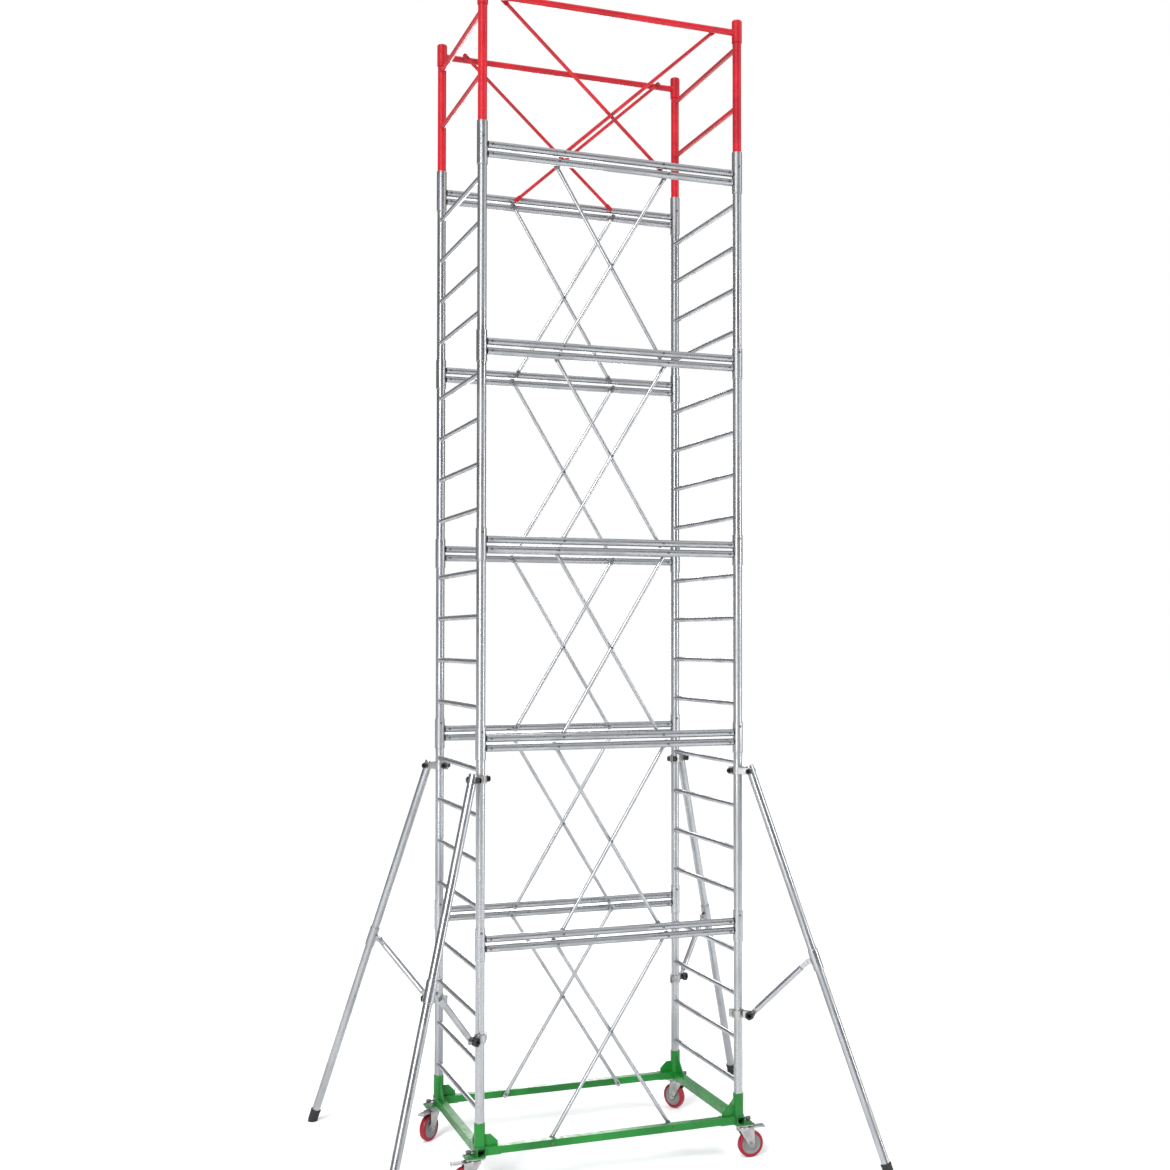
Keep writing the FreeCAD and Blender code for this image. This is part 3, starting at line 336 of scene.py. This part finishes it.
RED_ENAMEL = enamel("red_enamel", (0.47, 0.008, 0.017), (0.34, 0.006, 0.013), (0.28, 0.27, 0.26), 0.32, 0.0010)
GREEN_ENAMEL = enamel("green_enamel", (0.005, 0.185, 0.020), (0.003, 0.125, 0.014), (0.26, 0.27, 0.26), 0.34, 0.0016)
for name in ("guardrail_end_frames", "guardrail_rails_and_braces"):
    dress(name, RED_ENAMEL)
for name in ("base_end_frame_left", "base_end_frame_right", "base_long_beams"):
    dress(name, GREEN_ENAMEL)

TOP_JOINT = JOINTS[-1]
guard_places = []
for height in (0.413, 0.758):
    for x in (-POST_X, POST_X):
        near_end = Matrix.Translation((x, -POST_Y + POST_RADIUS, TOP_JOINT + height))
        guard_places += [near_end, Matrix.Diagonal((1, -1, 1, 1)) @ near_end]
join_copies("guardrail_weld_beads", rung_bead, guard_places, RED_ENAMEL, "root")
bpy.data.objects.remove(rung_bead)

TOP_RAIL = 0.843
along_rail = Matrix.Rotation(-math.pi / 2, 4, "Z")
rail_places = []
for y in (-POST_Y, POST_Y):
    left_end = Matrix.Translation((-POST_X + SLEEVE_RADIUS, y, TOP_JOINT + TOP_RAIL)) @ along_rail
    rail_places += [left_end, Matrix.Diagonal((-1, 1, 1, 1)) @ left_end]
rail_bead = weld_ring(0.0192, 0.0026, 26, SLEEVE_RADIUS)
join_copies("top_rail_weld_beads", rail_bead, rail_places, RED_ENAMEL, "root")
bpy.data.objects.remove(rail_bead)

socket_places = [Matrix.Translation((x, y, FOOT_Z + 0.0006)) @ upright
                 for x in (-POST_X, POST_X) for y in (-POST_Y, POST_Y)]
socket_bead = weld_ring(SLEEVE_RADIUS + 0.0014, 0.0030, 38)
join_copies("socket_weld_beads", socket_bead, socket_places, GREEN_ENAMEL, "root")
bpy.data.objects.remove(socket_bead)


# ---- Casters -------------------------------------------------------------------------------------
# Pressed, zinc-plated forks carry a cast crimson polyurethane tyre on a grey moulded rim.
# Each wheel rolls with its own body.

def zinc_plate(name):
    """Bright zinc plate: cloudy, slightly yellow, with pressed-steel grain."""
    material, tree, shader = new_material(name, 1.0, 0.34)
    cloud = stretched_noise(tree, 22.0, (1.0, 1.0, 1.0), detail=5.0)
    grain = stretched_noise(tree, 500.0, (1.0, 1.0, 1.0), detail=1.0)
    worn, rounded = edge_wear(tree, 0.0012, 160.0)
    tone = mix_colour(tree, ramp(tree, cloud, 0.35, 0.68), (0.44, 0.44, 0.43), (0.30, 0.30, 0.295))
    tree.links.new(mix_colour(tree, worn, tone, (0.60, 0.60, 0.60)), shader.inputs["Base Color"])
    tree.links.new(ramp(tree, cloud, 0.30, 0.72, 0.26, 0.50), shader.inputs["Roughness"])
    tree.links.new(bump(tree, grain, 0.12, 0.0002, rounded), shader.inputs["Normal"])
    return material


def cast_tread(name):
    """Crimson polyurethane, slightly waxy, with grey floor dust rubbed into its face."""
    material, tree, shader = new_material(name, 0.0, 0.38, Specular_IOR_Level=0.35)
    dust = stretched_noise(tree, 45.0, (1.0, 1.0, 1.0), detail=5.0, rough=0.65)
    drift = stretched_noise(tree, 9.0, (1.0, 1.0, 1.0))
    tone = mix_colour(tree, ramp(tree, drift, 0.35, 0.65), (0.27, 0.003, 0.019), (0.20, 0.003, 0.015))
    tree.links.new(mix_colour(tree, ramp(tree, dust, 0.58, 0.72, 0.0, 0.5), tone, (0.17, 0.06, 0.065)),
                   shader.inputs["Base Color"])
    tree.links.new(ramp(tree, dust, 0.35, 0.70, 0.30, 0.58), shader.inputs["Roughness"])
    tree.links.new(bump(tree, dust, 0.18, 0.0005), shader.inputs["Normal"])
    return material


def moulded(name, colour, scuff, roughness, grain_scale=650.0, grain=0.25):
    """Moulded plastic or rubber: fine grain, soft scuffs and slightly rounded edges."""
    material, tree, shader = new_material(name, 0.0, roughness)
    marks = stretched_noise(tree, 60.0, (1.0, 1.0, 1.0), detail=6.0, rough=0.7)
    skin = stretched_noise(tree, grain_scale, (1.0, 1.0, 1.0), detail=1.0)
    worn, rounded = edge_wear(tree, 0.0010, 150.0)
    faded = maths(tree, "MAXIMUM", ramp(tree, marks, 0.60, 0.75, 0.0, 0.6), maths(tree, "MULTIPLY", worn, 0.5))
    tree.links.new(mix_colour(tree, faded, colour, scuff), shader.inputs["Base Color"])
    tree.links.new(ramp(tree, marks, 0.30, 0.75, roughness - 0.06, roughness + 0.16), shader.inputs["Roughness"])
    tree.links.new(bump(tree, skin, grain, 0.0003, rounded), shader.inputs["Normal"])
    return material


ZINC = zinc_plate("zinc_plate")
TREAD = cast_tread("cast_tread")
RIM_PLASTIC = moulded("grey_rim", (0.165, 0.17, 0.175), (0.28, 0.28, 0.28), 0.45)
BLACK_PLASTIC = moulded("black_plastic", (0.012, 0.012, 0.013), (0.06, 0.06, 0.062), 0.42)
BLACK_RUBBER = moulded("black_rubber", (0.014, 0.013, 0.013), (0.075, 0.072, 0.070), 0.72, 380.0, 0.45)
dress("caster_plates", ZINC)
dress("base_lock_screws", OILED)

JOINT_DATA = {joint["name"]: joint for joint in frame["joints"]}


def joint_place(name):
    return Vector(JOINT_DATA[name]["pos_m"])


def facing(spot, direction):
    """The matrix that puts a shape drawn round Z at a spot, with Z along a direction."""
    return Matrix.Translation(spot) @ Vector(direction).to_track_quat("Z", "Y").to_matrix().to_4x4()


def turned_shape(name, rings, segments, fill):
    """A shape turned round Z: a circle is extruded from ring to ring, each a radius and a height."""
    start_clean()
    radius, height = rings[0]
    bpy.ops.mesh.primitive_circle_add(vertices=segments, radius=radius, fill_type=fill, location=(0, 0, height))
    piece = bpy.context.object
    piece.name = name
    bpy.ops.object.transform_apply(location=True, rotation=True, scale=True)
    bpy.ops.object.mode_set(mode="EDIT")
    bpy.ops.mesh.select_all(action="SELECT")
    for next_radius, next_height in rings[1:]:
        bpy.ops.mesh.extrude_region_move(TRANSFORM_OT_translate={"value": (0, 0, next_height - height)})
        factor = next_radius / radius
        bpy.ops.transform.resize(value=(factor, factor, 1.0), center_override=(0, 0, next_height))
        radius, height = next_radius, next_height
    bpy.ops.mesh.select_all(action="SELECT")
    bpy.ops.mesh.remove_doubles(threshold=0.00001)
    bpy.ops.mesh.normals_make_consistent(inside=False)
    bpy.ops.object.mode_set(mode="OBJECT")
    bpy.ops.object.shade_smooth_by_angle(angle=math.radians(32))
    return piece


def both_sides(half):
    """A closed outline across a wheel: the rings of one side, then the same rings mirrored."""
    return half + [(radius, -height) for radius, height in reversed(half)] + half[:1]


tyre_shape = turned_shape("tyre_master", both_sides([
    (0.0563, -0.0166), (0.0590, -0.0184), (0.0625, -0.0190), (0.0680, -0.0186), (0.0712, -0.0168),
    (0.0733, -0.0130), (0.0745, -0.0072), (0.0750, -0.0012)]), 96, "NOTHING")
disc_shape = turned_shape("disc_master", both_sides([
    (0.0063, -0.0210), (0.0150, -0.0210), (0.0166, -0.0202), (0.0174, -0.0160), (0.0192, -0.0128),
    (0.0225, -0.0116), (0.0430, -0.0116), (0.0462, -0.0124), (0.0490, -0.0152), (0.0512, -0.0168),
    (0.0548, -0.0170), (0.0560, -0.0162)]), 96, "NOTHING")

start_clean()
bpy.ops.mesh.primitive_cube_add(size=1.0, scale=(0.0034, 0.0300, 0.0026))
ridge_shape = bpy.context.object
bpy.ops.object.transform_apply(location=True, rotation=True, scale=True)
bpy.ops.object.mode_set(mode="EDIT")
bpy.ops.mesh.select_all(action="SELECT")
bpy.ops.mesh.bevel(offset=0.0009, segments=2)
bpy.ops.object.mode_set(mode="OBJECT")
bpy.ops.object.shade_smooth_by_angle(angle=math.radians(40))

PEDAL_TOP = 0.008
for corner in CORNERS:
    dress(f"caster_{corner}_fork", ZINC)
    dress(f"caster_{corner}_rim", RIM_PLASTIC)
    dress(f"caster_{corner}_tyre", TREAD)
    dress(f"caster_{corner}_pedal", ZINC)
    roll = f"caster_{corner}_roll"
    hub = facing(joint_place(roll), JOINT_DATA[roll]["axis"])
    wheel_body = f"caster_{corner}_wheel"
    tyre = join_copies(f"caster_{corner}_moulded_tyre", tyre_shape, [hub], TREAD, wheel_body)
    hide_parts(f"caster_{corner}_tyre")
    disc = join_copies(f"caster_{corner}_dished_rim", disc_shape, [hub], RIM_PLASTIC, wheel_body)
    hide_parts(f"caster_{corner}_rim")
    pin = joint_place(f"caster_{corner}_brake")
    outward = pin - joint_place(f"caster_{corner}_swivel")
    heading = Matrix.Rotation(math.atan2(outward.y, outward.x), 4, "Z")
    ridges = [Matrix.Translation(pin) @ heading @ Matrix.Translation((0.018 + 0.011 * step, 0, PEDAL_TOP + 0.0006))
              for step in range(5)]
    join_copies(f"caster_{corner}_pedal_ridges", ridge_shape, ridges, ZINC, f"caster_{corner}_brake")
for master in (tyre_shape, disc_shape, ridge_shape):
    bpy.data.objects.remove(master)


# ---- Outriggers ------------------------------------------------------------------------------------
# Each outrigger is a galvanised leg held by a plated clamp with black caps, and a collar for its strut.
# A moulded hand knob tightens the lower clamp, and a ribbed rubber foot is pushed on the leg.

LEG_RADIUS = 0.024
COLLAR_SHARE = 0.474
COLLAR_HALF = 0.056
CLAMP_REACH = 0.078
SOLE_REACH = 0.870
PIVOT_CAP_REACH = 0.041
EAR_REACH = 0.0413
EAR_CAP_REACH = 0.019
FOOT_RINGS = [
    (0.0245, -0.0300), (0.0252, -0.0120), (0.0286, 0.0110), (0.0290, 0.0140), (0.0290, 0.0190),
    (0.0279, 0.0202), (0.0279, 0.0228), (0.0290, 0.0240), (0.0290, 0.0320), (0.0279, 0.0332),
    (0.0279, 0.0358), (0.0290, 0.0370), (0.0290, 0.0450), (0.0279, 0.0462), (0.0279, 0.0488),
    (0.0290, 0.0500), (0.0290, 0.0650), (0.0302, 0.0672), (0.0306, 0.0700), (0.0306, 0.0745),
    (0.0300, 0.0770), (0.0286, 0.0780), (0.0252, 0.0780), (0.0242, 0.0768), (0.0242, 0.0262)]


def rubber_foot(corner, sole, direction):
    """A ribbed cap on the end of the leg, cut flat where it stands on the floor."""
    foot = turned_shape(f"outrigger_{corner}_ribbed_foot", FOOT_RINGS, 64, "NGON")
    foot.data.transform(facing(sole, direction))
    start_clean()
    foot.select_set(True)
    bpy.context.view_layer.objects.active = foot
    bpy.ops.object.mode_set(mode="EDIT")
    bpy.ops.mesh.select_all(action="SELECT")
    bpy.ops.mesh.bisect(plane_co=(0, 0, 0), plane_no=(0, 0, 1), use_fill=True, clear_inner=True)
    bpy.ops.mesh.select_all(action="SELECT")
    bpy.ops.mesh.normals_make_consistent(inside=False)
    bpy.ops.object.mode_set(mode="OBJECT")
    bpy.ops.object.shade_smooth_by_angle(angle=math.radians(32))
    foot.data.materials.append(BLACK_RUBBER)
    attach(foot, f"outrigger_{corner}_leg")
    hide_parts(f"outrigger_{corner}_foot")


def hand_knob():
    """A six-lobed moulded knob round Z, with a dished face and softened edges."""
    start_clean()
    bpy.ops.mesh.primitive_cylinder_add(vertices=72, radius=0.0245, depth=0.022, end_fill_type="NGON")
    knob = bpy.context.object
    for vertex in knob.data.vertices:
        turn = math.atan2(vertex.co.y, vertex.co.x)
        pinch = 1 - 0.11 * (0.5 + 0.5 * math.cos(6 * turn)) ** 2
        vertex.co.x *= pinch
        vertex.co.y *= pinch
    bpy.ops.object.mode_set(mode="EDIT")
    bpy.ops.mesh.select_mode(type="FACE")
    bpy.ops.mesh.select_all(action="DESELECT")
    bpy.ops.object.mode_set(mode="OBJECT")
    for face in knob.data.polygons:
        face.select = face.normal.z > 0.9
    bpy.ops.object.mode_set(mode="EDIT")
    bpy.ops.mesh.inset(thickness=0.0050)
    bpy.ops.mesh.inset(thickness=0.0016, depth=-0.0022)
    bpy.ops.mesh.inset(thickness=0.0060)
    bpy.ops.mesh.inset(thickness=0.0012, depth=0.0030)
    bpy.ops.mesh.select_mode(type="VERT")
    bpy.ops.object.mode_set(mode="OBJECT")
    soften = knob.modifiers.new("soften", "BEVEL")
    soften.width = 0.0013
    soften.segments = 3
    soften.limit_method = "ANGLE"
    soften.angle_limit = math.radians(35)
    bpy.ops.object.modifier_apply(modifier="soften")
    bpy.ops.object.shade_smooth_by_angle(angle=math.radians(32))
    return knob


knob_shape = hand_knob()
collar_bead = weld_ring(LEG_RADIUS + 0.0018, 0.0025, 30)
for corner in CORNERS:
    dress(f"outrigger_{corner}_top_clamp", ZINC)
    dress(f"outrigger_{corner}_leg", GALVANISED)
    dress(f"outrigger_{corner}_foot", BLACK_RUBBER)
    dress(f"outrigger_{corner}_low_clamp", ZINC)
    dress(f"outrigger_{corner}_knob", BLACK_PLASTIC)
    dress(f"outrigger_{corner}_strut", GALVANISED)
    side = -1 if corner.endswith("left") else 1
    across = -1 if corner.startswith("front") else 1
    post = Vector((side * POST_X, across * POST_Y, 0))
    head = joint_place(f"outrigger_{corner}_lift")
    level = Vector((head.x - post.x, head.y - post.y, 0))
    sole = post + level * (SOLE_REACH / CLAMP_REACH)
    rubber_foot(corner, sole, head - sole)
    down = sole - head
    collar_ends = [down.length * COLLAR_SHARE + offset for offset in (-COLLAR_HALF, COLLAR_HALF)]
    bead_places = [facing(head + down.normalized() * length, down) @ upright for length in collar_ends]
    join_copies(f"outrigger_{corner}_collar_beads", collar_bead, bead_places, GALVANISED,
                f"outrigger_{corner}_leg")
    low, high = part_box(f"outrigger_{corner}_knob")
    middle = (Vector(low) + Vector(high)) / 2
    knob_place = facing(middle, middle - joint_place(f"outrigger_{corner}_strut"))
    knob = join_copies(f"outrigger_{corner}_hand_knob", knob_shape, [knob_place], BLACK_PLASTIC,
                       f"outrigger_{corner}_slider")
    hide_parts(f"outrigger_{corner}_knob")
    outward = (middle - joint_place(f"outrigger_{corner}_strut")).normalized()
    slim = Matrix.Diagonal((0.66, 0.66, 0.86, 1.0))
    pivot_cap = facing(head + outward * PIVOT_CAP_REACH, outward) @ slim
    ear = Vector((post.x, post.y, head.z)) - level.normalized() * EAR_REACH
    ear_caps = [facing(ear + outward * sign * EAR_CAP_REACH, outward * sign) @ slim for sign in (-1, 1)]
    join_copies(f"outrigger_{corner}_clamp_caps", knob_shape, [pivot_cap] + ear_caps, BLACK_PLASTIC,
                f"outrigger_{corner}_swing")
for master in (knob_shape, collar_bead):
    bpy.data.objects.remove(master)


# ---- Floor, light and camera -----------------------------------------------------------------------
# A pale seamless floor under large soft lamps, with the camera at eye height below the middle.

def pale_floor():
    material, tree, shader = new_material("pale_floor", 0.0, 0.80)
    drift = stretched_noise(tree, 0.6, (1.0, 1.0, 1.0))
    tree.links.new(mix_colour(tree, drift, (0.90, 0.90, 0.90), (0.93, 0.93, 0.93)), shader.inputs["Base Color"])
    start_clean()
    bpy.ops.mesh.primitive_plane_add(size=160.0, location=(0, 0, -0.0005))
    floor = bpy.context.object
    floor.name = "studio_floor"
    bpy.ops.object.transform_apply(location=True, rotation=True, scale=True)
    floor.data.materials.append(material)


def aim(holder, location, target):
    holder.location = location
    holder.rotation_euler = (Vector(target) - Vector(location)).to_track_quat("-Z", "Y").to_euler()
    bpy.context.collection.objects.link(holder)


def soft_lamp(name, location, target, size, power):
    lamp = bpy.data.lights.new(name, "AREA")
    lamp.shape = "RECTANGLE"
    lamp.size, lamp.size_y = size
    lamp.energy = power
    aim(bpy.data.objects.new(name, lamp), location, target)


def wide_light(name, location, strength, softness):
    """Even light from one direction, which does not fall off over the floor."""
    lamp = bpy.data.lights.new(name, "SUN")
    lamp.energy = strength
    lamp.angle = math.radians(softness)
    aim(bpy.data.objects.new(name, lamp), location, (0, 0, 0))


def studio_world():
    """Surroundings for the metal to reflect, dim round the sides and bright above, and a white background."""
    world = bpy.data.worlds.new("studio_world")
    bpy.context.scene.world = world
    world.use_nodes = True
    tree = world.node_tree
    seen = tree.nodes["Background"]
    seen.inputs["Color"].default_value = (1.0, 1.0, 1.0, 1.0)
    seen.inputs["Strength"].default_value = 1.0
    lit = tree.nodes.new("ShaderNodeBackground")
    lit.inputs["Color"].default_value = (0.95, 0.97, 1.0, 1.0)
    place = tree.nodes.new("ShaderNodeTexCoord")
    split = tree.nodes.new("ShaderNodeSeparateXYZ")
    tree.links.new(place.outputs["Generated"], split.inputs[0])
    tree.links.new(ramp(tree, split.outputs["Z"], 0.05, 0.75, 0.20, 0.62), lit.inputs["Strength"])
    ray = tree.nodes.new("ShaderNodeLightPath")
    mix = tree.nodes.new("ShaderNodeMixShader")
    tree.links.new(ray.outputs["Is Camera Ray"], mix.inputs["Fac"])
    tree.links.new(lit.outputs["Background"], mix.inputs[1])
    tree.links.new(seen.outputs["Background"], mix.inputs[2])
    tree.links.new(mix.outputs["Shader"], tree.nodes["World Output"].inputs["Surface"])


pale_floor()
studio_world()
wide_light("key_light", (-6.2, -6.6, 8.0), 2.1, 22.0)
wide_light("fill_light", (7.0, -3.0, 5.0), 0.5, 40.0)
wide_light("top_light", (0.5, -0.5, 9.0), 0.5, 60.0)
soft_lamp("left_box", (-6.5, -7.0, 4.5), (0, 0, 3.2), (1.6, 7.0), 420.0)
soft_lamp("right_box", (7.5, -5.0, 4.0), (0, 0, 3.0), (1.4, 6.5), 260.0)
soft_lamp("back_box", (2.5, 9.0, 5.0), (0, 0, 3.2), (1.6, 6.5), 260.0)
bpy.context.scene.view_settings.view_transform = "Standard"

CAMERA_PLACE = (-2.798, -8.409, 2.923)
CAMERA_TURN = math.radians(-21.06)
CAMERA_RISE = math.radians(1.39)
lens = bpy.data.cameras.new("camera")
lens.sensor_width = 36.0
lens.lens = 46.84
lens.shift_x = -0.0611
lens.shift_y = 0.0158
lens.clip_end = 200.0
camera = bpy.data.objects.new("camera", lens)
camera.location = CAMERA_PLACE
camera.rotation_euler = (math.pi / 2 + CAMERA_RISE, 0.0, CAMERA_TURN)
bpy.context.collection.objects.link(camera)
bpy.context.scene.camera = camera
